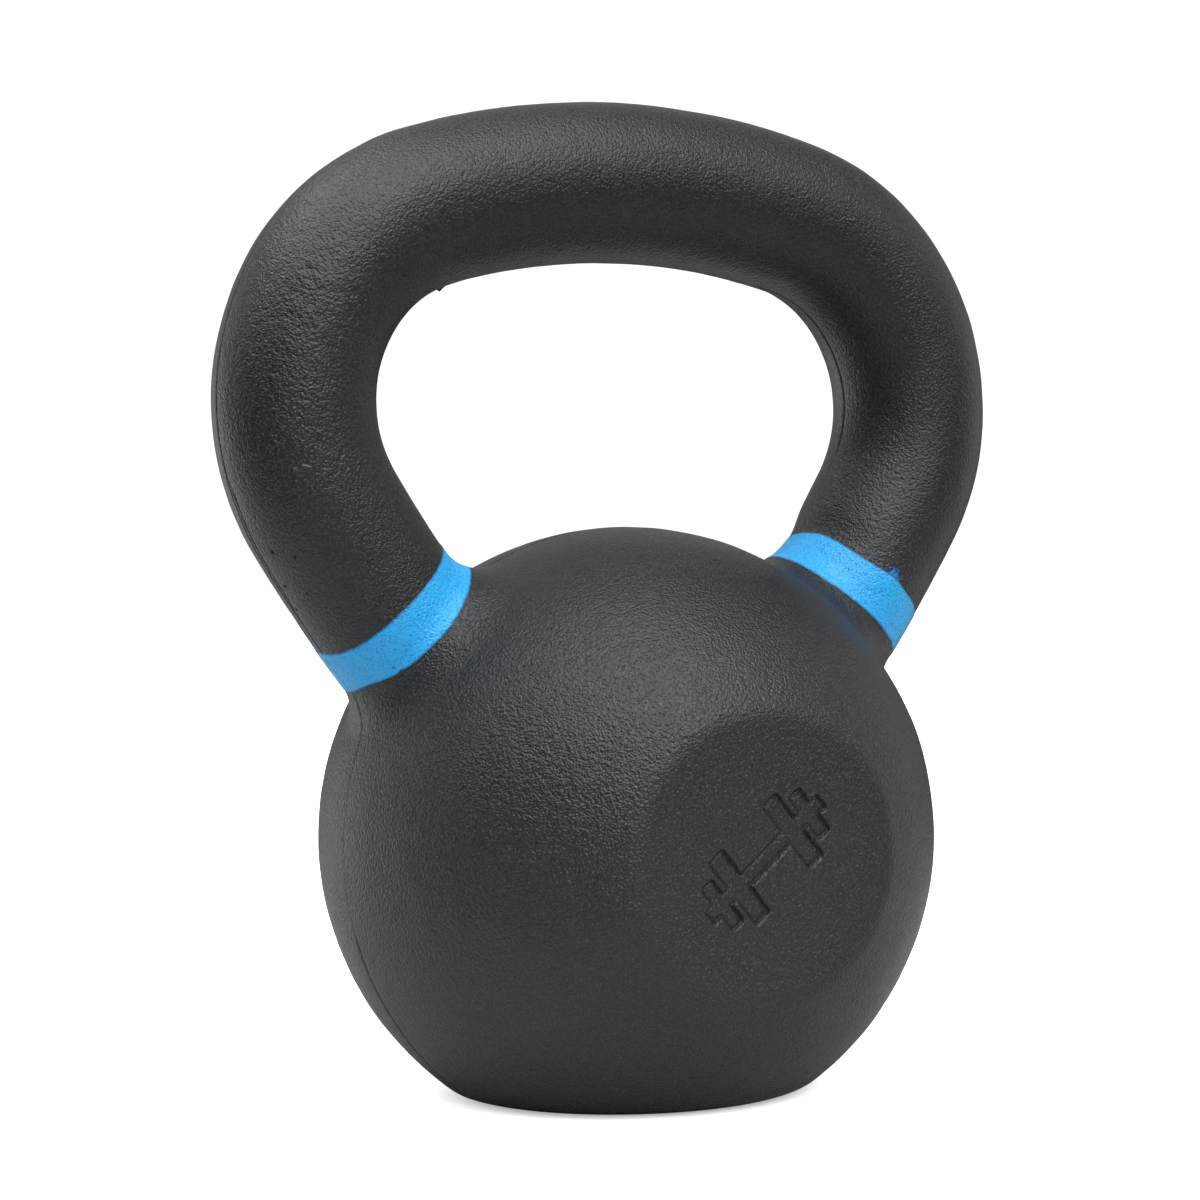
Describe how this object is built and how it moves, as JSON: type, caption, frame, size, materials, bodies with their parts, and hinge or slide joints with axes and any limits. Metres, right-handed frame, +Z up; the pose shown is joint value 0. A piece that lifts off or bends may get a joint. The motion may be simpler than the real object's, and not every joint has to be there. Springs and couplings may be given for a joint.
{
  "type": "kettlebell",
  "caption": "Cast-iron kettlebell: a round bell with a flat base and flat front and back facets, a bent round bar handle and a painted colour band round each horn root.",
  "frame": {"origin": "centre of the flat base", "axes": "+Z up, X across the handle, so that the handle's bar lies in the XZ plane, and the engraved front facet faces -Y"},
  "size_m": [0.192, 0.1252, 0.2218],
  "materials": {
    "cast_iron": "matte black coat over rough sand-cast iron",
    "band_paint": "satin sky-blue paint over the rough casting"
  },
  "bodies": {
    "root": {"bell": "cast_iron", "handle": "cast_iron", "left_band": "band_paint", "right_band": "band_paint"}
  },
  "joints": []
}
